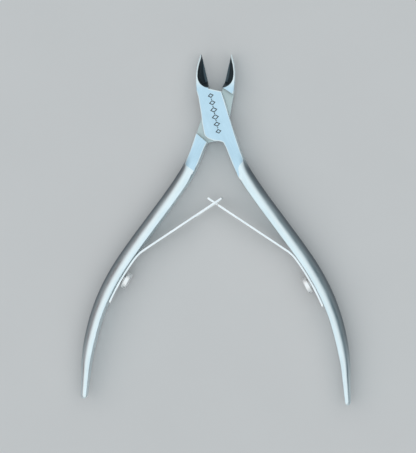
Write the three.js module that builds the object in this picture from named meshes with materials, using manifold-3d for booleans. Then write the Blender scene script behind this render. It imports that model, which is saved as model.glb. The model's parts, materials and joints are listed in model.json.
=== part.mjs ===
// Cuticle nipper: two crossed levers on a flat lap joint, opened by two interlocking leaf springs.
// Millimetres, +Z up, cutting tips towards +Y. The nipper lies flat at its rest opening.
import * as THREE from 'three';
import { ParametricGeometry } from 'three/addons/geometries/ParametricGeometry.js';
import { mergeVertices } from 'three/addons/utils/BufferGeometryUtils.js';
import Module from 'manifold-3d';

const wasm = await Module();
wasm.setup();

// Driving dimensions
const OPENING = 25.8;             // degrees between the levers at rest
const JOINT_HALF = 2.8;           // half the thickness of the joint
const LAP_GAP = 0.15;             // half the clearance between the two lapped plates
const EDGE_GAP = 0.08;            // clearance of each cutting edge from the closing line
const JAW_TIP = 17.65;            // pivot to cutting tip
const JAW_ROOT = 5.6;             // where the jaw starts inside the joint
const PLATE_BEVEL = 0.12;
const JAW_STEP = { distance: 7.77, angle: 110.3 };    // lap wall on the jaw side
const HANDLE_STEP = { distance: 6.59, angle: -62.9 }; // lap wall on the handle side
const UPPER = {
  corner: [5.0, -12.95],
  crown: 7.92,
  shoulder: [[2.5, -17.2], [2.9, -16.5], [2.96, -15.25], [3.4, -14.2], [5.05, -12.9]],
  end: 1,
};
const LOWER = {
  corner: [5.25, -14.15],
  crown: 7.24,
  shoulder: [[2.1, -15.45], [5.35, -14.1]],
  end: 0.976,
};
const LEAF = { thickness: 0.6, width: 4.2, gap: 0.3, bendClear: 0.4 };
const TONGUE = { width: 1.7, shoulder: 0.95, beyond: 2.3 };
const SLOT = { width: 2.6, before: 7, end: 0.7, beyond: 2.1, nose: 0.8 };
const CROSSING = [-0.12, -23.0];  // where the leaf springs cross, from the pivot, at rest
const SCREW_FIT = 0.3;            // clearance around every screw
const PIVOT = { head: 2.1, shank: 1.3, headDepth: 1.1, top: 1.9, skin: 0.5, slot: 0.5 };
const CLAMP = { head: 1.95, height: 1.2, shank: 0.9, depth: 1.6, slot: 0.45 };

// Handle centre line, seen from above with the nipper closed, and the section along it.
// x, y, thickness, height, squareness of the section (1 is a half ellipse)
const HANDLE = [
  [2.5, -7.99, 3.2, 5.8, 0.3],
  [3.32, -12.28, 3.5, 6, 0.35],
  [4.4, -16.62, 3.8, 6.4, 0.7],
  [7.33, -24.05, 3.75, 7, 0.85],
  [10.54, -31.35, 3.75, 7.3, 0.9],
  [13.73, -38.65, 3.75, 7.4, 0.95],
  [16.28, -45.04, 3.7, 7.4, 1],
  [18.18, -51.43, 3.65, 7.3, 1],
  [19.38, -58.21, 3.45, 6.9, 1],
  [19.73, -65.1, 3.25, 6.3, 1],
  [19.4, -71.89, 2.7, 5.6, 0.95],
  [18.65, -76.78, 2.1, 5, 0.9],
  [17.63, -83.3, 1.55, 4.2, 0.85],
];
const handlePath = new THREE.CatmullRomCurve3(HANDLE.map((s) => new THREE.Vector3(s[0], s[1], 0)));
const handleSize = new THREE.CatmullRomCurve3(HANDLE.map((s) => new THREE.Vector3(s[2], s[3], s[4])));
const station = (index) => index / (HANDLE.length - 1);
const FOOT_TOP = station(5.15);
const RIGHT_SPRING = { footEnd: station(7.6), clamp: station(6.55) };
const LEFT_SPRING = { footEnd: station(7.42), clamp: station(6.35) };

const { cos, sin, abs, sign, sqrt, min, max, round, PI } = Math;
const radians = THREE.MathUtils.degToRad;
const lerp = THREE.MathUtils.lerp;
const smooth = THREE.MathUtils.smoothstep;

// Joining and cutting
function solid(geometry) {
  geometry.deleteAttribute('normal');
  geometry.deleteAttribute('uv');
  const merged = mergeVertices(geometry, 1e-4);
  const corners = merged.index.array;
  const faces = [];
  for (let i = 0; i < corners.length; i += 3) {
    const [a, b, c] = corners.slice(i, i + 3);
    if (a !== b && b !== c && c !== a) faces.push(a, b, c);
  }
  const vertProperties = merged.attributes.position.array;
  const triVerts = new Uint32Array(faces);
  return new wasm.Manifold(new wasm.Mesh({ numProp: 3, vertProperties, triVerts }));
}

function piece(name, shape, material) {
  const mesh = shape.getMesh();
  const geometry = new THREE.BufferGeometry();
  geometry.setAttribute('position', new THREE.BufferAttribute(mesh.vertProperties, 3));
  geometry.setIndex(new THREE.BufferAttribute(mesh.triVerts, 1));
  geometry.computeVertexNormals();
  const result = new THREE.Mesh(geometry, material);
  result.name = name;
  return result;
}

// A closed skin through the rings ring(i, side), each end closed on the middle of its ring.
function loft(rings, sides, ring) {
  const middle = (i) => {
    const sum = new THREE.Vector3();
    for (let side = 0; side < sides; side += 1) sum.add(ring(i, side));
    return sum.divideScalar(sides);
  };
  const rows = rings + 1;
  const surface = (u, v, target) => {
    const row = round(v * rows);
    const i = min(max(row - 1, 0), rings - 1);
    const atEnd = row === 0 || row === rows;
    target.copy(atEnd ? middle(i) : ring(i, (sides - round(u * sides)) % sides));
  };
  return new ParametricGeometry(surface, sides, rows);
}

function slab(shape, bottom, top, bevel = 0) {
  const options = { depth: top - bottom - 2 * bevel, bevelEnabled: bevel > 0, curveSegments: 10 };
  Object.assign(options, { bevelSize: bevel, bevelOffset: -bevel, bevelThickness: bevel, bevelSegments: 1 });
  return new THREE.ExtrudeGeometry(shape, options).translate(0, 0, bottom + bevel);
}

// Jaw: sections across the blade, from the joint to the cutting tip.
const jawOuter = new THREE.SplineCurve([
  new THREE.Vector2(3.42, JAW_ROOT),
  new THREE.Vector2(3.34, 8.5),
  new THREE.Vector2(2.82, 11.7),
  new THREE.Vector2(1.84, 14.8),
  new THREE.Vector2(0.84, 16.8),
  new THREE.Vector2(0.32, JAW_TIP),
]);
const hollowEdge = new THREE.SplineCurve([
  new THREE.Vector2(0, 8.15),
  new THREE.Vector2(0.75, 8.45),
  new THREE.Vector2(1.7, 9.4),
  new THREE.Vector2(2.15, 10.5),
  new THREE.Vector2(2.2, 11.7),
  new THREE.Vector2(1.9, 13.1),
  new THREE.Vector2(1.25, 14.8),
  new THREE.Vector2(0.36, 16.6),
  new THREE.Vector2(0.04, JAW_TIP),
]);

function widthAt(curve, y) {
  let low = 0;
  let high = 1;
  for (let step = 0; step < 30; step += 1) {
    const middle = (low + high) / 2;
    if (curve.getPoint(middle).y < y) low = middle;
    else high = middle;
  }
  return curve.getPoint(low).x;
}

function jaw() {
  const rings = 34;
  const hollowSteps = 5;
  const outerSteps = 6;
  const sides = hollowSteps + outerSteps + 4;
  const ring = (i, side) => {
    const y = lerp(JAW_ROOT, JAW_TIP, i / (rings - 1));
    const along = max(0, (y - 8.5) / (JAW_TIP - 8.5));
    const top = JOINT_HALF - 3.7 * along ** 1.5;
    const bottom = -JOINT_HALF + 0.25 * along;
    const floor = y < 8 ? top : lerp(top, bottom + 0.05, smooth(y, 7.9, 10.4));
    const outer = max(widthAt(jawOuter, y) - EDGE_GAP, 0.06);
    const inner = y < 8 ? 0 : min(widthAt(hollowEdge, y), outer - 0.04);
    let across;
    let height;
    if (side === 0) {
      across = 0;
      height = bottom;
    } else if (side <= hollowSteps + 1) {
      const s = (side - 1) / hollowSteps;
      across = inner * sin((s * PI) / 2) ** 0.9;
      height = lerp(floor, top, 1 - cos((s * PI) / 2));
    } else {
      const s = (side - hollowSteps - 2) / outerSteps;
      const turn = (s * PI) / 2;
      const rounding = smooth(y, 6.5, 11);
      const shoulder = min(0.06 + 0.2 * rounding, (outer - inner) * 0.45);
      const drop = min(0.12 + 0.28 * rounding, (top - bottom) * 0.2);
      const taper = 0.22 * rounding;
      across = s < 0.5 ? outer - shoulder * (1 - sin(2 * turn)) : outer * (1 - taper * (2 * s - 1) ** 2);
      height = s < 0.5 ? top - drop * (1 - cos(2 * turn)) : lerp(top - drop, bottom + 0.25, 2 * s - 1);
    }
    return new THREE.Vector3(-across - EDGE_GAP, y, height);
  };
  return solid(loft(rings, sides, ring));
}

// Joint plate and tang, seen from above with the nipper closed. The tang ends in its outer corner,
// and the crown is where the plate's upper edge meets the closing line.
function plateShape(corner, crown) {
  const shape = new THREE.Shape();
  shape.moveTo(-3.2, 8.0);
  const waist = [[-3.4, 4.4], [-3.58, 1.6], [-3.85, -0.8]];
  shape.splineThru(waist.map(([x, y]) => new THREE.Vector2(x, y)));
  shape.lineTo(-3.95, -3.5);
  shape.quadraticCurveTo(-3.95, -4.45, -3.1, -5.2);
  shape.lineTo(-1.6, -6.2);
  shape.quadraticCurveTo(0.05, -6.5, 0.6, -7.2);
  shape.lineTo(1.15, -8.8);
  shape.lineTo(1.6, -12.0);
  shape.lineTo(2.2, corner[1] - 1.6);
  shape.lineTo(corner[0] - 0.6, corner[1] - 0.3);
  shape.lineTo(...corner);
  shape.lineTo(4.4, -8.5);
  shape.lineTo(3.72, -0.3);
  shape.lineTo(3.53, 3.1);
  shape.lineTo(3.2, 6.4);
  shape.lineTo(0, crown);
  shape.lineTo(-1.2, 8.5);
  shape.lineTo(-3.0, 8.4);
  return shape;
}

// The region inside both lap walls, long enough sideways to clear the lever.
function lapShape() {
  const corner = (wall, sideways) => {
    const a = radians(wall.angle);
    return [wall.distance * cos(a) - sideways * sin(a), wall.distance * sin(a) + sideways * cos(a)];
  };
  const shape = new THREE.Shape();
  shape.moveTo(...corner(JAW_STEP, -14));
  shape.lineTo(...corner(JAW_STEP, 14));
  shape.lineTo(...corner(HANDLE_STEP, -14));
  shape.lineTo(...corner(HANDLE_STEP, 14));
  return shape;
}

function handlePoint(t, outward, z) {
  const centre = handlePath.getPoint(t);
  const along = handlePath.getTangent(t);
  return new THREE.Vector3(centre.x - along.y * outward, centre.y + along.x * outward, z);
}

// The last stretch of the handle is rounded off like the end of an ellipse.
function handle(end) {
  const bodyRings = 40;
  const endRings = 6;
  const rounded = 0.012;
  const arc = 14;
  const ring = (i, side) => {
    const turned = max(0, (i - bodyRings) / endRings) * (PI / 2);
    const t = (end - rounded) * min(1, i / bodyRings) + rounded * sin(turned);
    const size = handleSize.getPoint(t);
    const shrink = max(cos(turned), 0.3);
    const thickness = size.x * lerp(1, shrink, 0.7);
    const half = (size.y / 2) * lerp(1, shrink, 0.5);
    const corner = min(0.35, thickness * 0.25);
    if (side > arc) {
      const flat = (side === arc + 1 ? -1 : 1) * (half - corner);
      return handlePoint(t, -thickness / 2, flat);
    }
    const turn = PI / 2 - (side / arc) * PI;
    const reach = abs(cos(turn)) ** size.z;
    const rise = sign(sin(turn)) * abs(sin(turn)) ** size.z;
    return handlePoint(t, corner - thickness / 2 + (thickness - corner) * reach, half * rise);
  };
  return solid(loft(bodyRings + endRings + 1, arc + 3, ring));
}

// Ground flats on both sides of the joint, ending on the tang along the shoulder's line.
function grind(shoulder, above) {
  const shape = new THREE.Shape();
  shape.moveTo(-9, 20);
  shape.lineTo(-9, shoulder[0][1]);
  shoulder.forEach(([x, y]) => shape.lineTo(x, y));
  shape.lineTo(9, shoulder.at(-1)[1]);
  shape.lineTo(9, 20);
  return solid(above ? slab(shape, JOINT_HALF, 9) : slab(shape, -9, -JOINT_HALF));
}

// A turned body whose profile runs from the axis at its low end to the axis at its high end.
function turned(profile, segments = 28) {
  const points = profile.map(([r, z]) => new THREE.Vector2(r, z));
  return new THREE.LatheGeometry(points, segments).rotateX(PI / 2);
}

function clampFrame(spring, geometry) {
  const at = handlePoint(spring.clamp, -handleSize.getPoint(spring.clamp).x / 2, 0);
  const along = handlePath.getTangent(spring.clamp);
  const inward = new THREE.Vector3(along.y, -along.x, 0);
  const up = new THREE.Vector3(0, 0, 1);
  const basis = new THREE.Matrix4().makeBasis(up.clone().cross(inward), up, inward).setPosition(at);
  return geometry.applyMatrix4(basis);
}

function lever({ name, corner, crown, shoulder, end, onTop, spring, material }) {
  let body = solid(slab(plateShape(corner, crown), -JOINT_HALF, JOINT_HALF, PLATE_BEVEL));
  body = body.add(handle(end)).add(jaw());
  body = body.subtract(grind(shoulder, true)).subtract(grind(shoulder, false));
  const lap = onTop ? slab(lapShape(), -9, LAP_GAP) : slab(lapShape(), -LAP_GAP, 9);
  body = body.subtract(solid(lap));
  const r = PIVOT.shank + SCREW_FIT;
  const blind = JOINT_HALF - PIVOT.skin;
  const sunk = -JOINT_HALF + PIVOT.headDepth;
  const mouth = PIVOT.head + SCREW_FIT;
  const blindBore = [[0, -1], [r, -1], [r, blind], [0, blind]];
  const throughBore = [[0, -9], [mouth, -9], [mouth, sunk], [r, sunk], [r, 9], [0, 9]];
  body = body.subtract(solid(turned(onTop ? blindBore : throughBore)));
  const deep = CLAMP.depth + SCREW_FIT;
  const tap = [[0, -deep], [CLAMP.shank + SCREW_FIT, -deep], [CLAMP.shank + SCREW_FIT, 3], [0, 3]];
  body = body.subtract(solid(clampFrame(spring, turned(tap))));
  return piece(name, body, material);
}

// Leaf spring: the foot lies along the handle's inner face, the arm starts just past the bend
// and reaches beyond the crossing, where the right tongue runs in the left arm's slot.
const leafOffset = LEAF.gap + LEAF.thickness / 2;
const bend = handlePoint(FOOT_TOP, -handleSize.getPoint(FOOT_TOP).x / 2 - leafOffset, 0);

function foot(name, spring, material) {
  const steps = 12;
  const side = (offset) => {
    const line = [];
    for (let i = 0; i <= steps; i += 1) {
      const t = lerp(FOOT_TOP, spring.footEnd, i / steps);
      const at = handlePoint(t, -handleSize.getPoint(t).x / 2 - offset, 0);
      line.push(new THREE.Vector2(at.x, at.y));
    }
    return line;
  };
  const outline = side(LEAF.gap).concat(side(LEAF.gap + LEAF.thickness).reverse());
  const strip = solid(slab(new THREE.Shape(outline), -LEAF.width / 2, LEAF.width / 2));
  const r = CLAMP.shank + SCREW_FIT;
  const hole = solid(clampFrame(spring, turned([[0, -3], [r, -3], [r, 4], [0, 4]])));
  return piece(name, strip.subtract(hole), material);
}

function arm(name, slotted, material) {
  const crossing = new THREE.Vector3(slotted ? -CROSSING[0] : CROSSING[0], CROSSING[1], 0);
  crossing.applyAxisAngle(new THREE.Vector3(0, 0, 1), radians(-OPENING / 2));
  const reach = bend.distanceTo(crossing);
  const half = LEAF.width / 2;
  const tongue = TONGUE.width / 2;
  const shape = new THREE.Shape();
  const start = LEAF.bendClear;
  const end = reach + (slotted ? SLOT : TONGUE).beyond;
  const neck = slotted ? end - SLOT.nose : reach - TONGUE.shoulder;
  shape.moveTo(start, -half);
  shape.lineTo(neck, -half);
  if (slotted) {
    shape.quadraticCurveTo(end, -half, end, 0);
    shape.quadraticCurveTo(end, half, neck, half);
  } else {
    shape.lineTo(neck, -tongue);
    shape.lineTo(end, -tongue);
    shape.lineTo(end, tongue);
    shape.lineTo(neck, tongue);
    shape.lineTo(neck, half);
  }
  shape.lineTo(start, half);
  if (slotted) {
    const gap = SLOT.width / 2;
    const slot = new THREE.Path();
    slot.moveTo(reach - SLOT.before, -gap);
    slot.lineTo(reach - SLOT.before, gap);
    slot.lineTo(end - SLOT.end, gap);
    slot.lineTo(end - SLOT.end, -gap);
    shape.holes.push(slot);
  }
  const along = crossing.clone().sub(bend).normalize();
  const up = new THREE.Vector3(0, 0, 1);
  const basis = new THREE.Matrix4().makeBasis(along, up, along.clone().cross(up)).setPosition(bend);
  const strip = slab(shape, -LEAF.thickness / 2, LEAF.thickness / 2).applyMatrix4(basis);
  return piece(name, solid(strip), material);
}

function slotCutter(width, bottom, top) {
  return new THREE.BoxGeometry(9, width, top - bottom).translate(0, 0, (bottom + top) / 2);
}

function clampScrew(name, spring, material) {
  const low = LEAF.gap * 2 + LEAF.thickness;
  const top = low + CLAMP.height;
  const profile = [[0, -CLAMP.depth], [CLAMP.shank, -CLAMP.depth], [CLAMP.shank, low], [CLAMP.head, low]];
  profile.push([CLAMP.head, top - 0.25], [CLAMP.head - 0.25, top], [0, top]);
  const slot = solid(slotCutter(CLAMP.slot, top - 0.5, top + 1));
  const body = solid(turned(profile)).subtract(slot);
  const mesh = piece(name, body, material);
  clampFrame(spring, mesh.geometry);
  return mesh;
}

function pivotScrew(name, material) {
  const bottom = -JOINT_HALF + 0.05;
  const neck = bottom + PIVOT.headDepth - SCREW_FIT;
  const profile = [[0, bottom], [PIVOT.head, bottom], [PIVOT.head, neck], [PIVOT.shank, neck]];
  profile.push([PIVOT.shank, PIVOT.top], [0, PIVOT.top]);
  const slot = solid(slotCutter(PIVOT.slot, bottom - 1, bottom + 0.5).rotateZ(radians(35)));
  return piece(name, solid(turned(profile)).subtract(slot), material);
}

const leverSteel = new THREE.MeshStandardMaterial({ color: 0xb4c2c9, roughness: 0.34, metalness: 1 });
const springSteel = new THREE.MeshStandardMaterial({ color: 0xd6dadb, roughness: 0.22, metalness: 1 });
const screwSteel = new THREE.MeshStandardMaterial({ color: 0xbfc6ca, roughness: 0.28, metalness: 1 });

// The lever on top swings its handle to the right; the lower one is its mirror image.
const upper = new THREE.Group();
upper.rotation.z = radians(OPENING / 2);
const upperShape = { name: 'upper_lever', ...UPPER, onTop: true, spring: RIGHT_SPRING };
upper.add(lever({ ...upperShape, material: leverSteel }));
upper.add(foot('right_spring_foot', RIGHT_SPRING, springSteel));
upper.add(arm('right_spring_arm', false, springSteel));
upper.add(clampScrew('right_spring_screw', RIGHT_SPRING, screwSteel));
upper.add(pivotScrew('pivot_screw', screwSteel));

const lower = new THREE.Group();
lower.rotation.z = radians(-OPENING / 2);
const mirrored = new THREE.Group();
mirrored.scale.x = -1;
const lowerShape = { name: 'lower_lever', ...LOWER, onTop: false, spring: LEFT_SPRING };
mirrored.add(lever({ ...lowerShape, material: leverSteel }));
mirrored.add(foot('left_spring_foot', LEFT_SPRING, springSteel));
mirrored.add(arm('left_spring_arm', true, springSteel));
mirrored.add(clampScrew('left_spring_screw', LEFT_SPRING, screwSteel));
lower.add(mirrored);

// Origin: middle of the underside of the bounding box.
const nipper = new THREE.Group();
nipper.add(upper, lower);
nipper.updateMatrixWorld(true);
const box = new THREE.Box3().setFromObject(nipper, true);
const middle = box.getCenter(new THREE.Vector3());
nipper.position.set(-middle.x, -middle.y, -box.min.z);

export default nipper;
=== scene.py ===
"""Cuticle nipper: the visual pieces, materials, light and camera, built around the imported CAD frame."""

import json
import math

import bmesh
import bpy
import numpy as np
from mathutils import Matrix, Vector


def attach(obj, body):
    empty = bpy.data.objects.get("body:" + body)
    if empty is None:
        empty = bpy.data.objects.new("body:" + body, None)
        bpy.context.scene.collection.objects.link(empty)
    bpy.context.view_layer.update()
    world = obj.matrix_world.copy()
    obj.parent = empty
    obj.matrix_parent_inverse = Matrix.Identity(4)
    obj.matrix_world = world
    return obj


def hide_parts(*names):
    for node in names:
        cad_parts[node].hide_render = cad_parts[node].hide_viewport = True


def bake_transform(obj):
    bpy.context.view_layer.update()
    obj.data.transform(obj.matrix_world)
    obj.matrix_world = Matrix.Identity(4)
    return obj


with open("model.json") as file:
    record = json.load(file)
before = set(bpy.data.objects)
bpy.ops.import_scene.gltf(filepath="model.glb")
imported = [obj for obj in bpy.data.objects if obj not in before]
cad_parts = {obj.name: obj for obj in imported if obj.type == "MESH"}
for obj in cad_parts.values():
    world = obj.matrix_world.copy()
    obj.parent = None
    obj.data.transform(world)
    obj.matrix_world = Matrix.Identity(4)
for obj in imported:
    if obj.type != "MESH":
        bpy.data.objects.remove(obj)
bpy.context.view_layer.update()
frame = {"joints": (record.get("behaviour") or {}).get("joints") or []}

MM = 0.001
JOINTS = {joint["name"]: joint for joint in frame["joints"]}
PIVOT = Vector(JOINTS["lever_pivot"]["pos_m"])
HALF_OPENING = math.radians(12.9)

# The nipper's own dimensions, in millimetres from the pivot in the closed frame: the nipper is closed, +Y is
# towards the jaws, and the upper lever has its handle on the right. The lower lever is built alike and mirrored.

# half the joint's thickness, and from the middle to each plate's lapped face and to each cutting edge
JOINT_HALF, LAP_GAP, EDGE_GAP = 2.8, 0.15, 0.08
# the eased edges of the plates, and the widths of the small round edges
EASE_WIDTH, EASE_DEPTH = 0.36, 0.2
LEVER_EASE, LEAF_EASE, SCREW_EASE = 0.04, 0.09, 0.05
# distance from the pivot and direction in degrees of the lap's two walls
JAW_STEP, HANDLE_STEP = (7.77, 110.3), (6.59, -62.9)

# a jaw along Y
JAW_ROOT, HOLLOW_ROOT, BLADE_ROOT, JAW_TIP = 5.6, 8.0, 8.5, 17.65
# how far its top drops and its bottom lifts at the tip, and the hollow stays above the bottom
BLADE_DROP, BLADE_LIFT, HOLLOW_FLOOR = 3.7, 0.25, 0.05
# where along Y its outer wall turns from the plate's shape to the blade's, and the blade's eased shoulder
WALL_TURNS, BLADE_EASE_WIDTH, BLADE_EASE_DEPTH = (6.5, 11.0), 0.26, 0.4
# how far the wall leans in at its foot, as a share of the half-width, and the height of the foot
WALL_LEAN, WALL_FOOT = 0.22, 0.25
# half-width and Y of the jaw's outer wall and of the rim of its hollow
JAW_OUTER = [
    (3.16, JAW_ROOT), (3.35, 7.1), (3.34, 8.5), (2.82, 11.7), (1.84, 14.8), (0.84, 16.8), (0.32, JAW_TIP),
]
HOLLOW_EDGE = [
    (0, 8.15), (0.75, 8.45), (1.7, 9.4), (2.15, 10.5), (2.2, 11.7), (1.9, 13.1), (1.25, 14.8), (0.36, 16.6),
    (0.04, JAW_TIP),
]

# each plate's outer corner by the handle, the top of its crown by the jaw and the curve where its flats end;
# then places along the handle, in rows of HANDLE: its end, the spring screw and the end of the spring's foot
UPPER_SHAPE = {
    "corner": (5.0, -12.95),
    "crown": 7.92,
    "shoulder": [(2.5, -17.2), (2.9, -16.5), (2.96, -15.25), (3.4, -14.2), (5.05, -12.9)],
    "end": 12,
    "clamp": 6.55,
    "foot": 7.66,
}
LOWER_SHAPE = {
    "corner": (5.25, -14.15),
    "crown": 7.24,
    "shoulder": [(2.1, -15.45), (5.35, -14.1)],
    "end": 11.796,
    "clamp": 6.35,
    "foot": 7.52,
}
# how far the flats' ends slide outwards and down the handle for each millimetre above the flat
GRIND_SLIDE = (2.4, -2.4)

# leaf springs: section, gap to the handle, hole for the screw, and where they cross at rest
LEAF_THICK, LEAF_WIDTH, LEAF_GAP, LEAF_HOLE = 0.6, 4.2, 0.08, 1.0
CROSSING = (-0.12, -23.0)
# where they bend, in rows of HANDLE, and how far on either side of there the bend reaches
FOOT_TOP, BEND_REACH = 5.15, 1.8
# the tongue's width, and how far its shoulders lie before the crossing and its tip beyond it
TONGUE_WIDTH, TONGUE_SHOULDER, TONGUE_BEYOND = 1.7, 0.95, 2.6
# the slot's width, how far it begins before the crossing and ends before the tip, and the tip's reach beyond
SLOT_WIDTH, SLOT_BEFORE, SLOT_END, SLOT_BEYOND = 2.6, 7.0, 0.7, 2.5
# radii of the corners of the leaves, seen flat
FOOT_ROUND, NOSE_ROUND, SLOT_ROUND = 1.0, 0.7, 0.9
SHOULDER_ROUND, NECK_ROUND, TONGUE_ROUND = 0.3, 0.2, 0.5

# spring screws: radii, heights above the leaf, depths in the handle, and the driving slot
CLAMP_HEAD, CLAMP_NECK, CLAMP_SHANK, CLAMP_BORE = 2.25, 1.45, 0.9, 1.2
CLAMP_HEIGHT, CLAMP_NECK_HEIGHT, CLAMP_DEPTH, CLAMP_BORE_DEPTH = 1.25, 0.3, 1.6, 1.9
CLAMP_SLOT, CLAMP_SLOT_DEPTH = 0.45, 0.42
# pivot screw: radii, depths of its head and of the recess for it, how far above the middle it ends, the metal
# left over its bore, how far its head is sunk, and the driving slot
PIVOT_HEAD, PIVOT_SHANK, PIVOT_BORE, PIVOT_RECESS = 2.15, 1.3, 1.6, 2.4
PIVOT_HEAD_DEPTH, PIVOT_RECESS_DEPTH, PIVOT_END, PIVOT_COVER, PIVOT_SUNK = 0.8, 1.1, 1.9, 0.5, 0.05
PIVOT_SLOT, PIVOT_SLOT_DEPTH = 0.5, 0.45
# chamfers, and the eased rim of a spring screw's head
SHANK_CHAMFER, HEAD_CHAMFER, PIVOT_CHAMFER = 0.2, 0.15, 0.14
RIM_WIDTH, RIM_HEIGHT = 0.22, 0.16

# the etched ornament: its first and last lozenge, with the nipper at rest, and their number
ORNAMENT_START, ORNAMENT_END, ORNAMENT_COUNT = (-1.2, 5.8), (0.9, -3.8), 6
# a lozenge's half-sizes, and how much smaller its hole is
LOZENGE_LENGTH, LOZENGE_WIDTH, STROKE_LENGTH, STROKE_WIDTH = 0.8, 1.05, 0.3125, 0.4
# how much smaller the outermost lozenges are, as a share, and the size of a dot
LOZENGE_GRADING, DOT_RADIUS = 0.2, 0.17
# how far the ornament goes below and above the plate
ETCH_DEPTH, ETCH_HEIGHT = 0.03, 0.012

# beyond any part of a plate, for tools that cut right through
BEYOND = 9
# points of a mesh closer than this are merged before its edges are rounded
WELD = 0.02
# a face is level where its normal's height is more than LEVEL, and on a plane within ON_PLANE of it
LEVEL, ON_PLANE = 0.995, 0.02
# the Y that lengths along a lever are counted from, beyond the jaw's tip
GRAIN_START = 20.0

# the corner of the handle's section beside its inner face, at the tang and beyond it, and the rows between
TANG_CORNER, HANDLE_CORNER, CORNER_ROWS = 0.5, 0.12, (1.6, 2.4)
# the handle's centre line, x and y, and its section's thickness, height and roundness: 1 is half an ellipse
HANDLE = [
    (2.5, -7.99, 3.2, 5.8, 0.3),
    (3.32, -12.28, 3.5, 6.0, 0.35),
    (4.4, -16.62, 3.8, 6.4, 0.7),
    (7.33, -24.05, 3.75, 7.0, 0.85),
    (10.54, -31.35, 3.75, 7.3, 0.9),
    (13.73, -38.65, 3.75, 7.4, 0.95),
    (16.28, -45.04, 3.7, 7.4, 1.0),
    (18.18, -51.43, 3.65, 7.3, 1.0),
    (19.38, -58.21, 3.45, 6.9, 1.0),
    (19.73, -65.1, 3.25, 6.3, 0.95),
    (19.4, -71.89, 2.7, 5.6, 0.82),
    (18.65, -76.78, 2.1, 5.0, 0.7),
    (17.63, -83.3, 1.55, 4.2, 0.6),
]
PATH = [(x, y, 0.0) for x, y, _, _, _ in HANDLE]
SIZE = [(thickness, height, roundness) for _, _, thickness, height, roundness in HANDLE]


def lerp(a, b, t):
    return a + (b - a) * t


def clamp(x, low=0.0, high=1.0):
    return max(low, min(high, x))


def smoothstep(x, a, b):
    t = clamp((x - a) / (b - a))
    return t * t * (3 - 2 * t)


def centripetal(points, t):
    """Point and derivative of the centripetal Catmull-Rom curve through the points, at t from 0 to 1."""
    count = len(points)
    place = t * (count - 1)
    index = min(int(place), count - 2)
    weight = place - index
    p1, p2 = Vector(points[index]), Vector(points[index + 1])
    p0 = Vector(points[index - 1]) if index > 0 else 2 * p1 - p2
    p3 = Vector(points[index + 2]) if index + 2 < count else 2 * p2 - p1
    d0, d1, d2 = ((b - a).length ** 0.5 for a, b in ((p0, p1), (p1, p2), (p2, p3)))
    m1 = ((p1 - p0) / d0 - (p2 - p0) / (d0 + d1) + (p2 - p1) / d1) * d1
    m2 = ((p2 - p1) / d1 - (p3 - p1) / (d1 + d2) + (p3 - p2) / d2) * d1
    c2 = -3 * p1 + 3 * p2 - 2 * m1 - m2
    c3 = 2 * p1 - 2 * p2 + m1 + m2
    at = p1 + weight * (m1 + weight * (c2 + weight * c3))
    slope = m1 + weight * (2 * c2 + weight * 3 * c3)
    return at, slope


def station(row):
    """Place along the handle, from 0 to 1, of a row of HANDLE; a row may be a fraction."""
    return row / (len(HANDLE) - 1)


def handle_point(t, outward, z=0.0):
    """Point beside the handle's centre line at t."""
    at, slope = centripetal(PATH, t)
    slope.normalize()
    return Vector((at.x - slope.y * outward, at.y + slope.x * outward, z))


def handle_size(t):
    """Thickness, height and roundness of the handle's section at t."""
    return centripetal(SIZE, t)[0]


def inner_face(t):
    """How far outwards the handle's inner face lies at t; it's negative."""
    return -handle_size(t).x / 2


def spline(points, t):
    """Uniform Catmull-Rom curve through 2-D points, at t from 0 to 1."""
    count = len(points)
    place = t * (count - 1)
    index = min(int(place), count - 2)
    w = place - index
    picked = [points[int(clamp(index + k, 0, count - 1))] for k in (-1, 0, 1, 2)]
    result = []
    for a, b, c, d in zip(*picked):
        v0, v1 = (c - a) / 2, (d - b) / 2
        cubic = (2 * b - 2 * c + v0 + v1) * w**3 + (-3 * b + 3 * c - 2 * v0 - v1) * w**2
        result.append(cubic + v0 * w + b)
    return result


def width_at(points, y):
    """Where the curve through the points passes a given y."""
    low, high = 0.0, 1.0
    for _ in range(30):
        middle = (low + high) / 2
        if spline(points, middle)[1] < y:
            low = middle
        else:
            high = middle
    return spline(points, low)[0]


# Mesh building, in millimetres in the lever's closed frame


def mesh_from(name, points, faces):
    mesh = bpy.data.meshes.new(name)
    mesh.from_pydata([tuple(p) for p in points], [], faces)
    mesh.validate()
    obj = bpy.data.objects.new(name, mesh)
    bpy.context.scene.collection.objects.link(obj)
    return obj


def loft(name, rings):
    """A closed skin through rings of equal length, with flat ends."""
    sides = len(rings[0])
    points = [p for ring in rings for p in ring]
    faces = []
    for i in range(len(rings) - 1):
        for j in range(sides):
            k = (j + 1) % sides
            faces.append((i * sides + j, i * sides + k, (i + 1) * sides + k, (i + 1) * sides + j))
    faces.append(tuple(reversed(range(sides))))
    faces.append(tuple((len(rings) - 1) * sides + j for j in range(sides)))
    obj = mesh_from(name, points, faces)
    face_outwards(obj)
    return obj


def face_outwards(obj):
    """Turns all faces outwards."""
    bm = bmesh.new()
    bm.from_mesh(obj.data)
    bmesh.ops.recalc_face_normals(bm, faces=bm.faces)
    if bm.calc_volume(signed=True) < 0:
        bmesh.ops.reverse_faces(bm, faces=bm.faces)
    bm.to_mesh(obj.data)
    bm.free()


def prism(name, outline, bottom, top):
    """An outline drawn up from bottom to top."""
    return loft(name, [[(x, y, z) for x, y in outline] for z in (bottom, top)])


def inset(outline, distance, sharpest=0.5):
    """An anticlockwise outline moved inwards; sharp corners move no farther than distance / sharpest."""
    result = []
    count = len(outline)
    for index, point in enumerate(outline):
        here = Vector(point)
        before = (here - Vector(outline[index - 1])).normalized()
        after = (Vector(outline[(index + 1) % count]) - here).normalized()
        normals = [Vector((-way.y, way.x)) for way in (before, after)]
        middle = (normals[0] + normals[1]).normalized()
        result.append(tuple(here + middle * distance / max(middle.dot(normals[0]), sharpest)))
    return result


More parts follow.
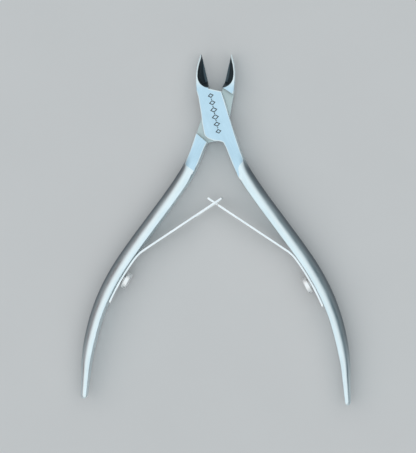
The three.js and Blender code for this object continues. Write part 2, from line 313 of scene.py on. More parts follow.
def eased_prism(name, outline, half, width, depth, steps=6):
    """A prism between -half and half with elliptically eased edges, wider than they are deep."""
    upper = []
    for k in range(steps + 1):
        turn = k / steps * math.pi / 2
        upper.append((width * (1 - math.cos(turn)), half - depth * (1 - math.sin(turn))))
    levels = [(away, -z) for away, z in reversed(upper)] + upper
    return loft(name, [[(x, y, z) for x, y in inset(outline, away)] for away, z in levels])


def turned(name, profile, segments=96):
    """A body of revolution about Z from (radius, z) points; both ends close on the axis."""
    rings = []
    for radius, z in profile:
        turn = (2 * math.pi * k / segments for k in range(segments))
        rings.append([(radius * math.cos(a), radius * math.sin(a), z) for a in turn])
    return loft(name, rings)


def combine(target, tool, operation):
    """Joins the tool to the target or cuts it out, and removes the tool."""
    modifier = target.modifiers.new("combine", "BOOLEAN")
    modifier.solver = "MANIFOLD"
    modifier.operation = operation
    modifier.object = tool
    bpy.context.view_layer.update()
    evaluated = target.evaluated_get(bpy.context.evaluated_depsgraph_get())
    mesh = bpy.data.meshes.new_from_object(evaluated)
    target.modifiers.clear()
    target.data = mesh
    bpy.data.objects.remove(tool)


def left_sharp(edge, near=0.7, below_hollow=0.1):
    """The cutting edge of a jaw, and edges with no room around them for rounding."""
    places = [vertex.co for vertex in edge.verts]
    cutting = all(at.y > HOLLOW_ROOT - below_hollow and at.x > -near for at in places)
    return cutting or any(e.calc_length() < LEVER_EASE for vertex in edge.verts for e in vertex.link_edges)


def round_edges(obj, width, segments=3, sharper_than=32, flatter_than=0.4, kept=None):
    """Merges flat faces and rounds every edge sharper than an angle, apart from those kept."""
    bm = bmesh.new()
    bm.from_mesh(obj.data)
    bmesh.ops.remove_doubles(bm, verts=bm.verts, dist=WELD)
    bmesh.ops.dissolve_degenerate(bm, edges=bm.edges, dist=WELD)
    bmesh.ops.dissolve_limit(bm, angle_limit=math.radians(flatter_than), verts=bm.verts, edges=bm.edges)
    turn = math.radians(sharper_than)
    sharp = [e for e in bm.edges if e.is_manifold and e.calc_face_angle(0) > turn]
    if kept is not None:
        sharp = [e for e in sharp if not kept(e)]
    bmesh.ops.bevel(
        bm, geom=sharp, offset=width, offset_type="OFFSET", segments=segments, profile=0.5,
        affect="EDGES", clamp_overlap=False, loop_slide=True,
    )
    bm.to_mesh(obj.data)
    bm.free()
    smooth_shading(obj)


def smooth_shading(obj, angle=35):
    """Smooth shading, apart from edges sharper than the angle."""
    obj.data.shade_smooth()
    obj.data.set_sharp_from_angle(angle=math.radians(angle))
    modifier = obj.modifiers.new("weighted_normals", "WEIGHTED_NORMAL")
    modifier.keep_sharp = True


def opened(angle):
    """From millimetres in the closed frame to metres in the CAD frame, turned about the pivot."""
    return Matrix.Translation(PIVOT) @ Matrix.Rotation(angle, 4, "Z") @ Matrix.Scale(MM, 4)


UPPER = opened(HALF_OPENING)
LOWER = opened(-HALF_OPENING) @ Matrix.Diagonal((-1, 1, 1, 1))


def move(obj, matrix):
    """Moves the mesh and keeps its faces outwards where the matrix mirrors it."""
    obj.data.transform(matrix)
    if matrix.determinant() < 0:
        obj.data.flip_normals()


def place(obj, matrix, body, *nodes):
    """Moves a piece out of the closed frame to its place on its CAD body."""
    move(obj, matrix)
    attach(obj, body)
    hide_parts(*nodes)


# Levers


def jaw_along(y):
    """How far along the blade, from 0 at its root to 1 at the tip."""
    return clamp((y - BLADE_ROOT) / (JAW_TIP - BLADE_ROOT))


def jaw_top(y):
    return JOINT_HALF - BLADE_DROP * jaw_along(y)**1.5


def jaw_bottom(y):
    return -JOINT_HALF + BLADE_LIFT * jaw_along(y)


def hollow_section(y, inner, steps=22):
    """From the middle of the jaw out to the rim of its hollow; nearer the root it has no width."""
    top, bottom = jaw_top(y), jaw_bottom(y)
    sinking = smoothstep(y, HOLLOW_ROOT - 0.1, HOLLOW_ROOT + 2.4)
    floor = top if y < HOLLOW_ROOT else lerp(top, bottom + HOLLOW_FLOOR, sinking)
    turns = [k / steps * math.pi / 2 for k in range(steps + 1)]
    return [(inner * math.sin(turn) ** 0.9, lerp(floor, top, 1 - math.cos(turn))) for turn in turns]


def wall_section(y, inner, outer, steps=26):
    """Over the eased shoulder of the jaw and down its outer wall, which leans in towards the tip."""
    top, bottom = jaw_top(y), jaw_bottom(y)
    turning = smoothstep(y, *WALL_TURNS)
    shoulder = min(lerp(EASE_WIDTH, BLADE_EASE_WIDTH, turning), (outer - inner) * 0.45)
    drop = min(lerp(EASE_DEPTH, BLADE_EASE_DEPTH, turning), (top - bottom) * 0.2)
    section = []
    for k in range(steps + 1):
        share = k / steps
        if share < 0.5:
            turn = share * math.pi
            section.append((outer - shoulder * (1 - math.sin(turn)), top - drop * (1 - math.cos(turn))))
        else:
            down = 2 * share - 1
            across = outer * (1 - WALL_LEAN * turning * down**2)
            section.append((across, lerp(top - drop, bottom + WALL_FOOT, down)))
    return section


def jaw_rings(count=130, thinnest=0.06, narrowest_rim=0.04):
    """Sections of the jaw from its root to its tip."""
    rings = []
    for i in range(count):
        y = lerp(JAW_ROOT, JAW_TIP, i / (count - 1))
        outer = max(width_at(JAW_OUTER, y) - EDGE_GAP, thinnest)
        inner = 0.0 if y < HOLLOW_ROOT else min(width_at(HOLLOW_EDGE, y), outer - narrowest_rim)
        ring = [(0.0, jaw_bottom(y))] + hollow_section(y, inner) + wall_section(y, inner, outer)
        rings.append([(-across - EDGE_GAP, y, z) for across, z in ring])
    return rings


def handle_rings(end, count=230, arc=56, flat=8, end_steps=12, rounded=0.012):
    """Sections of the handle, half round outwards and flat inwards, closing in over the rounded end."""
    rings = []
    for i in range(count + end_steps + 1):
        turned_in = clamp((i - count) / end_steps) * math.pi / 2
        t = (end - rounded) * min(1.0, i / count) + rounded * math.sin(turned_in)
        thickness, height, roundness = handle_size(t)
        shrink = max(math.cos(turned_in), 0.3)
        thickness *= lerp(1, shrink, 0.7)
        half = height / 2 * lerp(1, shrink, 0.35)
        beyond_tang = smoothstep(t, *(station(row) for row in CORNER_ROWS))
        corner = min(lerp(TANG_CORNER, HANDLE_CORNER, beyond_tang), thickness * 0.25)
        ring = []
        for k in range(arc + 1):
            turn = math.pi / 2 - k / arc * math.pi
            reach = abs(math.cos(turn)) ** roundness
            rise = math.copysign(abs(math.sin(turn)) ** roundness, math.sin(turn))
            ring.append(handle_point(t, corner - thickness / 2 + (thickness - corner) * reach, half * rise))
        for k in range(flat + 1):
            z = lerp(-1, 1, k / flat) * (half - corner)
            ring.append(handle_point(t, -thickness / 2, z))
        rings.append(ring)
    return rings


def arc_points(start, control, end, steps=16):
    """Points of a quadratic curve after its start."""
    points = []
    for k in range(1, steps + 1):
        t = k / steps
        points.append(tuple(lerp(lerp(a, b, t), lerp(b, c, t), t) for a, b, c in zip(start, control, end)))
    return points


def tang_side(end, steps=40, proud=0.015, sunk=0.12, sinking=2.5):
    """The tang's inner edge, a hair proud of the handle's inner face until it sinks in near a given y."""
    side = []
    for k in range(steps + 1):
        t = lerp(station(0.1), station(2.3), k / steps)
        y = handle_point(t, inner_face(t)).y
        if y > end:
            lift = lerp(-sunk, proud, smoothstep(y, end, end + sinking))
            side.append(tuple(handle_point(t, inner_face(t) - lift).to_2d()))
    return side


def plate_outline(corner, crown, tang_end, steps=24):
    """Plate and tang seen from above, anticlockwise from the jaw's side of the plate."""
    jaw_side = [(-3.2, 8.0), (-3.4, 4.4), (-3.58, 1.6), (-3.85, -0.8)]
    heel = [(-3.95, -3.5), (-3.95, -4.45), (-3.1, -5.2)]
    throat = [(-1.6, -6.2), (0.05, -6.5), (0.6, -7.2)]
    outer_side = [corner, (4.4, -8.5), (3.72, -0.3), (3.53, 3.1), (3.2, 6.4)]
    outline = [tuple(spline(jaw_side, k / steps)) for k in range(steps + 1)]
    for curve in (heel, throat):
        outline += [curve[0]] + arc_points(*curve)
    outline += tang_side(tang_end)
    outline.append((corner[0] - 0.6, corner[1] - 0.3))
    outline += [tuple(spline(outer_side, k / steps)) for k in range(steps + 1)]
    outline += [(0, crown), (-1.2, 8.5), (-3.0, 8.4)]
    return outline


def lap_outline(reach=14):
    """The strip between the lap's two walls."""
    corners = []
    for distance, degrees in (JAW_STEP, HANDLE_STEP):
        angle = math.radians(degrees)
        for sideways in (-reach, reach):
            x = distance * math.cos(angle) - sideways * math.sin(angle)
            corners.append((x, distance * math.sin(angle) + sideways * math.cos(angle)))
    return corners


def grinding_wheel(shoulder, facing, height=3.0, steps=28):
    """The body ground away above one flat; its end slopes up the handle."""
    right, far = 14, 20
    curve = [spline(shoulder, k / steps) for k in range(steps + 1)]
    rings = []
    for rise in (0.0, height):
        end = [(x + GRIND_SLIDE[0] * rise, y + GRIND_SLIDE[1] * rise) for x, y in curve]
        ring = [(-BEYOND, far), (-BEYOND, end[0][1]), *end, (right, end[-1][1]), (right, far)]
        rings.append([(x, y, facing * (JOINT_HALF + rise)) for x, y in ring])
    return loft("grind", rings)


def clamp_matrix(t):
    """Frame of a spring screw: +Z away from the handle's inner face."""
    at = handle_point(t, inner_face(t))
    slope = centripetal(PATH, t)[1].normalized()
    inward = Vector((slope.y, -slope.x, 0))
    up = Vector((0, 0, 1))
    basis = Matrix((up.cross(inward), up, inward)).transposed()
    return Matrix.Translation(at) @ basis.to_4x4()


def bore(profile, segments=64):
    return turned("cutter", profile, segments)


def pivot_bore(blind):
    """Blind in the upper lever; through the lower one, with a recess for the screw's head."""
    if blind:
        return bore([(PIVOT_BORE, -1), (PIVOT_BORE, JOINT_HALF - PIVOT_COVER)])
    ledge = PIVOT_RECESS_DEPTH - JOINT_HALF
    return bore([(PIVOT_RECESS, -BEYOND), (PIVOT_RECESS, ledge), (PIVOT_BORE, ledge), (PIVOT_BORE, BEYOND)])


def clamp_bore(t):
    cutter = bore([(CLAMP_BORE, -CLAMP_BORE_DEPTH), (CLAMP_BORE, 3)])
    cutter.data.transform(clamp_matrix(t))
    return cutter


def lever_mesh(name, shape, on_top):
    """Plate, tang, handle and jaw joined, then ground flat, lapped and bored."""
    tang_end = shape["shoulder"][0][1] - 0.3
    outline = plate_outline(shape["corner"], shape["crown"], tang_end)
    body = eased_prism(name, outline, JOINT_HALF, EASE_WIDTH, EASE_DEPTH)
    combine(body, loft("handle", handle_rings(station(shape["end"]))), "UNION")
    combine(body, loft("jaw", jaw_rings()), "UNION")
    combine(body, grinding_wheel(shape["shoulder"], 1), "DIFFERENCE")
    combine(body, grinding_wheel(shape["shoulder"], -1), "DIFFERENCE")
    lap = (-BEYOND, LAP_GAP) if on_top else (-LAP_GAP, BEYOND)
    combine(body, prism("lap", lap_outline(), *lap), "DIFFERENCE")
    combine(body, pivot_bore(on_top), "DIFFERENCE")
    combine(body, clamp_bore(station(shape["clamp"])), "DIFFERENCE")
    round_edges(body, LEVER_EASE, kept=left_sharp)
    return body


def nearest_on_path(points, steps=400):
    """For points in the closed frame: distance along the lever, distance outward from its centre line."""
    samples = [handle_point(k / steps, 0) for k in range(steps + 1)]
    line = np.array([(0.0, GRAIN_START), (0.0, 0.0)] + [(p.x, p.y) for p in samples])
    parts = np.diff(line, axis=0)
    lengths = np.hypot(parts[:, 0], parts[:, 1])
    starts = np.concatenate([[0.0], np.cumsum(lengths)[:-1]])
    flat = points[:, :2]
    best = np.full(len(flat), np.inf)
    along = np.zeros(len(flat))
    across = np.zeros(len(flat))
    for start, part, length, at in zip(line[:-1], parts, lengths, starts):
        way = part / length
        offset = flat - start
        run = np.clip(offset @ way, 0, length)
        gap = offset - run[:, None] * way
        distance = np.hypot(gap[:, 0], gap[:, 1])
        closer = distance < best
        best[closer] = distance[closer]
        along[closer] = (at + run)[closer]
        across[closer] = (offset @ np.array([-way[1], way[0]]))[closer]
    return along, across


def vertex_positions(mesh):
    """The places of a mesh's vertices, one row each."""
    flat = np.empty(len(mesh.vertices) * 3, np.float32)
    mesh.vertices.foreach_get("co", flat)
    return flat.reshape(-1, 3).astype(float)


def store_grain(mesh, along, across, height):
    """The direction of the finishing marks: a vector of millimetres along, across and up."""
    grain = mesh.attributes.new("grain", "FLOAT_VECTOR", "POINT")
    grain.data.foreach_set("vector", np.column_stack([along, across, height]).astype(np.float32).ravel())


def store_scalar(mesh, name, values, domain):
    """One number for each corner or face, read by the material."""
    made = mesh.attributes.new(name, "FLOAT", domain)
    made.data.foreach_set("value", np.asarray(values, np.float32))


def in_hollow(face):
    """Whether a face of a lever in the closed frame lies in the hollow of its jaw."""
    x, y, z = face.center
    within = -x - EDGE_GAP < width_at(HOLLOW_EDGE, y)
    open_side = face.normal.z > -0.2 and jaw_bottom(y) + 0.03 < z < jaw_top(y) - 0.01
    return y > HOLLOW_ROOT + 0.05 and within and open_side


def ground_share(face, inside):
    """1 on the ground flats, fading out along the top and bottom of the jaw."""
    level = abs(face.normal.z)
    if level > LEVEL and abs(abs(face.center.z) - JOINT_HALF) < ON_PLANE:
        return 1.0
    on_jaw = face.center.y > HOLLOW_ROOT and level > 0.8 and not inside
    return on_jaw * (1 - smoothstep(face.center.y, BLADE_ROOT, 11.5))


def finish_lever(obj):
    """Stores where the grain runs and which faces are ground flat, lapped, or in the hollow of the jaw, where
    the material paints dark shade.
    """
    mesh = obj.data
    at = vertex_positions(mesh)
    along, across = nearest_on_path(at)
    store_grain(mesh, along, across, at[:, 2])
    hollow, ground, lapped = [], [], []
    for face in mesh.polygons:
        inside = in_hollow(face)
        for corner in face.vertices:
            depth = jaw_top(at[corner][1]) - at[corner][2]
            # mask of the painted shade in the hollow, fading in over 0.45 mm below the rim
            hollow.append(smoothstep(depth, 0.0, 0.45) if inside else 0.0)
        ground.append(ground_share(face, inside))
        # faces in the lap, which get their machined finish and painted shade
        lapped.append(float(abs(face.normal.z) > LEVEL and abs(face.center.z) < LAP_GAP + ON_PLANE))
    store_scalar(mesh, "hollow", hollow, "CORNER")
    store_scalar(mesh, "ground", ground, "FACE")
    store_scalar(mesh, "lapped", lapped, "FACE")


# Leaf springs, built flat as (length, width, thickness) and then bent along their centre line


class LeafLine:
    """Centre line of a leaf spring, from the free end of its foot to the tip of its arm."""

    def __init__(self, foot_end, clamp_at, crossing_x, beyond, steps=160, bend_steps=24):
        foot = [self.beside_handle(lerp(foot_end, station(FOOT_TOP), k / steps)) for k in range(steps + 1)]
        self.bend = foot[-1]
        crossing = Vector((crossing_x, CROSSING[1]))
        crossing.rotate(Matrix.Rotation(-HALF_OPENING, 2))
        way = (crossing - self.bend).normalized()
        tip = crossing + way * beyond
        kept = [p for p in foot if (p - self.bend).length > BEND_REACH]
        entry, leave = kept[-1], self.bend + way * BEND_REACH
        points = kept + arc_points(entry, self.bend, leave, bend_steps) + [tip]
        self.way = (leave - entry).normalized()
        self.line = np.array([tuple(p) for p in points])
        self.lengths = np.concatenate([[0], np.cumsum(np.hypot(*np.diff(self.line, axis=0).T))])
        self.total = float(self.lengths[-1])
        self.crossing = self.total - beyond
        clamped = np.array(self.beside_handle(clamp_at))
        self.clamp = float(self.lengths[np.argmin(np.hypot(*(self.line - clamped).T))])

    @staticmethod
    def beside_handle(t):
        return handle_point(t, inner_face(t) - LEAF_GAP - LEAF_THICK / 2).to_2d()

    def point(self, length):
        return Vector([np.interp(length, self.lengths, self.line[:, k]) for k in (0, 1)])

    def at(self, length, step=0.05):
        """Point and direction of the line at a length from its start."""
        low, high = max(length - step, 0), min(length + step, self.total)
        return self.point(length), (self.point(high) - self.point(low)).normalized()

    def stations(self, straight_step=0.9, bend_step=0.25):
        """Lengths at which the strip is cut across, closer together round the bend."""
        bend_end = self.lengths[-2]
        result = []
        length = straight_step
        while length < self.total:
            result.append(length)
            bending = bend_end - 2 * BEND_REACH < length < bend_end + 0.3
            length += bend_step if bending else straight_step
        return result


def rounded_outline(corners, steps=8):
    """A closed outline; each corner is (x, y, radius)."""
    outline = []
    for index, (x, y, radius) in enumerate(corners):
        here = Vector((x, y))
        before = Vector(corners[index - 1][:2]) - here
        after = Vector(corners[(index + 1) % len(corners)][:2]) - here
        start = here + before.normalized() * radius
        end = here + after.normalized() * radius
        outline.append(tuple(start))
        outline += arc_points(tuple(start), (x, y), tuple(end), steps)
    return outline


def leaf_mesh(name, line, slotted):
    """A leaf with a slot near its nose, or with its nose narrowed to a tongue."""
    half, total, crossing = LEAF_WIDTH / 2, line.total, line.crossing
    if slotted:
        nose = [(total, -half, NOSE_ROUND), (total, half, NOSE_ROUND)]
    else:
        neck, tongue = crossing - TONGUE_SHOULDER, TONGUE_WIDTH / 2
        nose = [(neck, -half, SHOULDER_ROUND), (neck, -tongue, NECK_ROUND), (total, -tongue, TONGUE_ROUND)]
        nose += [(x, -y, r) for x, y, r in reversed(nose)]
    corners = [(0, half, FOOT_ROUND), (0, -half, FOOT_ROUND)] + nose
    strip = prism(name, rounded_outline(corners), -LEAF_THICK / 2, LEAF_THICK / 2)
    if slotted:
        low, high, side = crossing - SLOT_BEFORE, total - SLOT_END, SLOT_WIDTH / 2
        slot = [(x, y, SLOT_ROUND) for x, y in ((low, -side), (high, -side), (high, side), (low, side))]
        combine(strip, prism("slot", rounded_outline(slot), -1, 1), "DIFFERENCE")
    hole = turned("hole", [(LEAF_HOLE, -1), (LEAF_HOLE, 1)], 48)
    hole.data.transform(Matrix.Translation((line.clamp, 0, 0)))
    combine(strip, hole, "DIFFERENCE")
    round_edges(strip, LEAF_EASE)
    bend_strip(strip, line)
    return strip


def bend_strip(strip, line):
    """Bends a flat strip so that its middle follows the line."""
    bm = bmesh.new()
    bm.from_mesh(strip.data)
    for length in line.stations():
        everything = bm.verts[:] + bm.edges[:] + bm.faces[:]
        bmesh.ops.bisect_plane(bm, geom=everything, dist=1e-5, plane_co=(length, 0, 0), plane_no=(1, 0, 0))
    bm.to_mesh(strip.data)
    bm.free()
    flat = vertex_positions(strip.data)
    bent = []
    for length, width, thick in flat:
        at, way = line.at(length)
        bent.append((at.x - way.y * thick, at.y + way.x * thick, width))
    strip.data.vertices.foreach_set("co", np.array(bent, np.float32).ravel())
    store_grain(strip.data, flat[:, 0], flat[:, 1], flat[:, 2])
    face_outwards(strip)
    smooth_shading(strip)


# Screws


def screw_mesh(name, profile, slot_width, slot_depth, slot_turn):
    """A turned screw with a driving slot across its head, turned by an angle in degrees."""
    body = turned(name, profile)
    reach, side, floor_at = 4.0, slot_width / 2, profile[-1][1] - slot_depth
    outline = [(-reach, -side), (reach, -side), (reach, side), (-reach, side)]
    cutter = prism("slot", outline, floor_at, floor_at + 3)
    cutter.data.transform(Matrix.Rotation(math.radians(slot_turn), 4, "Z"))
    combine(body, cutter, "DIFFERENCE")
    round_edges(body, SCREW_EASE, 2)
    at = vertex_positions(body.data)
    radius = np.hypot(at[:, 0], at[:, 1])
    store_grain(body.data, np.arctan2(at[:, 1], at[:, 0]) * 2, radius, at[:, 2])
    return body


def clamp_screw_profile(steps=8):
    """Shank, a short neck on the leaf, then a flat disc head with an eased rim."""
    neck = 2 * LEAF_GAP + LEAF_THICK
    low = neck + CLAMP_NECK_HEIGHT
    top = low + CLAMP_HEIGHT
    profile = [(CLAMP_SHANK - SHANK_CHAMFER, -CLAMP_DEPTH), (CLAMP_SHANK, SHANK_CHAMFER - CLAMP_DEPTH)]
    profile += [(CLAMP_SHANK, neck), (CLAMP_NECK, neck), (CLAMP_NECK, low)]
    profile += [(CLAMP_HEAD - HEAD_CHAMFER, low), (CLAMP_HEAD, low + HEAD_CHAMFER)]
    for k in range(steps + 1):
        turn = k / steps * math.pi / 2
        radius = CLAMP_HEAD - RIM_WIDTH * (1 - math.cos(turn))
        profile.append((radius, top - RIM_HEIGHT * (1 - math.sin(turn))))
    return profile


def pivot_screw_profile():
    """Seen from its head, with +Z out of the head; the shank ends blind inside the upper lever."""
    face = JOINT_HALF - PIVOT_SUNK
    neck = face - PIVOT_HEAD_DEPTH
    profile = [(PIVOT_SHANK - SHANK_CHAMFER, -PIVOT_END), (PIVOT_SHANK, SHANK_CHAMFER - PIVOT_END)]
    profile += [(PIVOT_SHANK, neck), (PIVOT_HEAD, neck)]
    profile += [(PIVOT_HEAD, face - PIVOT_CHAMFER), (PIVOT_HEAD - PIVOT_CHAMFER, face)]
    return profile


# Etched ornament


class Etching:
    """Thin prisms that stand a hair proud of the upper plate, gathered into one mesh."""

    bottom, top = JOINT_HALF - ETCH_DEPTH, JOINT_HALF + ETCH_HEIGHT

    def __init__(self):
        self.points, self.faces = [], []

    def add_loop(self, loop):
        """The bottom and top points of a loop; returns the number of the first."""
        base = len(self.points)
        for z in (self.bottom, self.top):
            self.points.extend((p.x, p.y, z) for p in loop)
        return base

    def add_solid(self, loop):
        size, base = len(loop), self.add_loop(loop)
        for k in range(size):
            n = (k + 1) % size
            self.faces.append((base + k, base + n, base + size + n, base + size + k))
        self.faces.append(tuple(base + size + k for k in range(size)))
        self.faces.append(tuple(base + k for k in reversed(range(size))))

    def add_ring(self, outer_loop, inner_loop):
        size = len(outer_loop)
        outer, inner = self.add_loop(outer_loop), self.add_loop(inner_loop)
        for k in range(size):
            n = (k + 1) % size
            self.faces.append((outer + k, outer + n, outer + size + n, outer + size + k))
            self.faces.append((inner + n, inner + k, inner + size + k, inner + size + n))
            self.faces.append((outer + size + k, outer + size + n, inner + size + n, inner + size + k))
            self.faces.append((outer + n, outer + k, inner + k, inner + n))


def ornament_mesh(name):
    """A row of graded open lozenges with a dot between each pair, along the middle of the plate."""
    turn = Matrix.Rotation(-HALF_OPENING, 2)
    start, end = (turn @ Vector(place) for place in (ORNAMENT_START, ORNAMENT_END))
    way = (end - start).normalized()
    side = Vector((-way.y, way.x))
    last = ORNAMENT_COUNT - 1
    etching = Etching()

    def lozenge(centre, length, width):
        return [centre + way * length, centre + side * width, centre - way * length, centre - side * width]

    def dot(centre, sides=12):
        angles = [k / sides * 2 * math.pi for k in range(sides)]
        return [centre + DOT_RADIUS * (way * math.cos(a) + side * math.sin(a)) for a in angles]

    for k in range(ORNAMENT_COUNT):
        centre = start.lerp(end, k / last)
        scale = 1 - LOZENGE_GRADING * abs(k - last / 2) / (last / 2)
        length, width = LOZENGE_LENGTH * scale, LOZENGE_WIDTH * scale
        hole = lozenge(centre, length - STROKE_LENGTH, width - STROKE_WIDTH)
        etching.add_ring(lozenge(centre, length, width), hole)
        if k < last:
            etching.add_solid(dot(start.lerp(end, (k + 0.5) / last)))
    obj = mesh_from(name, etching.points, etching.faces)
    face_outwards(obj)
    at = vertex_positions(obj.data)
    store_grain(obj.data, at[:, 1], at[:, 0], at[:, 2])
    return obj


# Materials

LEVER_COLOUR = (0.82, 0.92, 0.95, 1)
SPRING_COLOUR = (0.97, 0.98, 0.98, 1)
SCREW_COLOUR = (0.98, 0.99, 0.99, 1)
# what the levers' colour is multiplied by: on the handles' outer sides as a painted dark reflection, on the
# ground flats for their satin finish and as painted contrast that makes the eased edges read as highlights, and
# inside the lap for its machined finish and as painted shade
PAINTED_DARK_REFLECTION_TINT = (0.175, 0.185, 0.205, 1)
GROUND_SATIN_AND_HIGHLIGHT_TINT = (0.72, 0.84, 0.93, 1)
LAP_FINISH_AND_SHADE_TINT = (0.66, 0.67, 0.64, 1)
# near-black painted shade for the hollows of the jaws
HOLLOW_PAINTED_SHADE = (0.06, 0.085, 0.1, 1)
ETCHED_COLOURS = (0.035, 0.045, 0.05, 1), (0.11, 0.13, 0.14, 1)
FLOOR_COLOURS = (0.64, 0.64, 0.64, 1), (0.67, 0.67, 0.67, 1)
# the painted dark reflection on the handles' outer sides, in millimetres of the grain: where it begins across
# the handle and along it, and fades
DARK_REFLECTION_ACROSS, DARK_REFLECTION_BEGINS, DARK_REFLECTION_FADES = (-0.3, 1.8), (31.0, 37.0), (86.0, 104.0)


def add(tree, kind, settings=None, **inputs):
    """A shader node. Inputs are numbers, colours or sockets, named as on the node."""
    made = tree.nodes.new("ShaderNode" + kind)
    for key, value in (settings or {}).items():
        setattr(made, key, value)
    for key, value in inputs.items():
        feed(tree, made.inputs[key], value)
    return made


def feed(tree, socket, value):
    if isinstance(value, bpy.types.NodeSocket):
        tree.links.new(value, socket)
    else:
        socket.default_value = value


def calculate(tree, operation, *values):
    made = add(tree, "Math", {"operation": operation})
    for index, value in enumerate(values):
        feed(tree, made.inputs[index], value)
    return made.outputs[0]


def ramp(tree, value, low, high, to_low=0.0, to_high=1.0):
    """A smooth change from to_low, where the value is low, to to_high, where it's high."""
    made = add(tree, "MapRange", {"interpolation_type": "SMOOTHSTEP"}, Value=value)
    for name, number in zip(("From Min", "From Max", "To Min", "To Max"), (low, high, to_low, to_high)):
        made.inputs[name].default_value = number
    return made.outputs["Result"]


def mix_colour(tree, factor, a, b, blend="MIX"):
    """Colour a where the factor is 0 and b, or a blended with b, where it's 1."""
    made = add(tree, "Mix", {"data_type": "RGBA", "blend_type": blend})
    for socket, value in zip((made.inputs[0], made.inputs[6], made.inputs[7]), (factor, a, b)):
        feed(tree, socket, value)
    return made.outputs[2]


def tint_by(tree, colour, tint):
    return mix_colour(tree, 1.0, colour, tint, "MULTIPLY")


def noise(tree, grain, scale, detail, roughness):
    """Noise over the grain coordinates, with a scale for each direction in cycles per millimetre."""
    stretched = add(tree, "VectorMath", {"operation": "MULTIPLY"})
    feed(tree, stretched.inputs[0], grain)
    stretched.inputs[1].default_value = scale
    made = add(tree, "TexNoise", None, Scale=1.0, Detail=detail, Roughness=roughness)
    tree.links.new(stretched.outputs[0], made.inputs["Vector"])
    return made.outputs["Fac"]


def attribute(tree, name, output="Fac"):
    return add(tree, "Attribute", {"attribute_name": name}).outputs[output]


def new_material(name):
    material = bpy.data.materials.new(name)
    material.use_nodes = True
    tree = material.node_tree
    return material, tree, tree.nodes["Principled BSDF"]


def steel(name, colour, roughness, streaks=0.5, polish=0.0, anisotropy=0.35):
    """Ground steel: long streaks along the grain, a fine tooth, handling marks and painted shade that darkens
    its recesses.

    Returns the material and what more can be built on: its tree, shader, colour, roughness and grain.
    """
    material, tree, shader = new_material(name)
    shader.inputs["Metallic"].default_value = 1.0
    shader.inputs["Anisotropic"].default_value = anisotropy
    grain = attribute(tree, "grain", "Vector")
    long_streaks = noise(tree, grain, (0.16, 8.0, 8.0), 4.0, 0.6)
    hairlines = noise(tree, grain, (0.5, 26.0, 26.0), 2.0, 0.5)
    tooth = noise(tree, grain, (11.0, 11.0, 11.0), 2.0, 0.6)
    marks = noise(tree, grain, (0.18, 0.35, 0.35), 3.0, 0.55)
    tone = calculate(tree, "MULTIPLY_ADD", long_streaks, 0.34 * streaks, 1 - 0.17 * streaks)
    tone = calculate(tree, "MULTIPLY", tone, ramp(tree, marks, 0.3, 0.7, 0.95, 1.03))
    tone = calculate(tree, "MULTIPLY", tone, ramp(tree, tooth, 0.25, 0.75, 0.97, 1.02))
    # painted shade: ambient occlusion darkens the colour in corners and recesses, down to 0.45
    painted_recess_shade = add(tree, "AmbientOcclusion", {"samples": 6, "only_local": True}, Distance=0.0012).outputs["AO"]
    tone = calculate(tree, "MULTIPLY", tone, ramp(tree, painted_recess_shade, 0.25, 0.95, 0.45, 1.0))
    tinted = tint_by(tree, colour, tone)
    rough = calculate(tree, "MULTIPLY_ADD", long_streaks, 0.16 * streaks, roughness - 0.08 * streaks)
    rough = calculate(tree, "ADD", rough, ramp(tree, marks, 0.3, 0.7, -0.04, 0.05))
    relief = calculate(tree, "MULTIPLY_ADD", hairlines, streaks, calculate(tree, "MULTIPLY", tooth, 0.5))
    bump = add(tree, "Bump", None, Strength=0.12 * (1 - polish), Distance=0.00002, Height=relief)
    feed(tree, shader.inputs["Base Color"], tinted)
    feed(tree, shader.inputs["Roughness"], rough)
    feed(tree, shader.inputs["Normal"], bump.outputs["Normal"])
    return material, tree, shader, tinted, rough, grain


def lever_steel():
    """Steel with a painted dark reflection on the outer sides of the handles, a satin tint on the flats that is
    partly painted highlight contrast, a lap tint that is partly painted shade, and painted dark shade in the
    hollows.
    """
    material, tree, shader, tinted, rough, grain = steel("lever_steel", LEVER_COLOUR, 0.36)
    along, across, _ = add(tree, "SeparateXYZ", None, Vector=grain).outputs
    # painted dark reflection on the handles' outer sides: outer is its mask
    outer = ramp(tree, across, *DARK_REFLECTION_ACROSS)
    outer = calculate(tree, "MULTIPLY", outer, ramp(tree, along, *DARK_REFLECTION_BEGINS))
    outer = calculate(tree, "MULTIPLY", outer, ramp(tree, along, *DARK_REFLECTION_FADES, 1.0, 0.3))
    tinted = mix_colour(tree, outer, tinted, tint_by(tree, tinted, PAINTED_DARK_REFLECTION_TINT))
    # partly the flats' satin finish, partly painted: the flats are darkened and made bluer so that the eased
    # edges read as highlights
    tinted = mix_colour(tree, attribute(tree, "ground"), tinted, tint_by(tree, tinted, GROUND_SATIN_AND_HIGHLIGHT_TINT))
    # partly the lap's machined finish, partly painted shade between the levers
    tinted = mix_colour(tree, attribute(tree, "lapped"), tinted, tint_by(tree, tinted, LAP_FINISH_AND_SHADE_TINT))
    # painted shade: the hollow of each jaw is coloured near black, fading in from its rim
    tinted = mix_colour(tree, attribute(tree, "hollow"), tinted, HOLLOW_PAINTED_SHADE)
    feed(tree, shader.inputs["Base Color"], tinted)
    feed(tree, shader.inputs["Roughness"], calculate(tree, "MULTIPLY_ADD", outer, 0.1, rough))
    return material


def etched_black():
    material, tree, shader = new_material("etched_black")
    speckle = noise(tree, attribute(tree, "grain", "Vector"), (16.0, 16.0, 16.0), 3.0, 0.6)
    feed(tree, shader.inputs["Base Color"], mix_colour(tree, speckle, *ETCHED_COLOURS))
    feed(tree, shader.inputs["Roughness"], ramp(tree, speckle, 0.2, 0.8, 0.45, 0.7))
    shader.inputs["Metallic"].default_value = 0.4
    return material


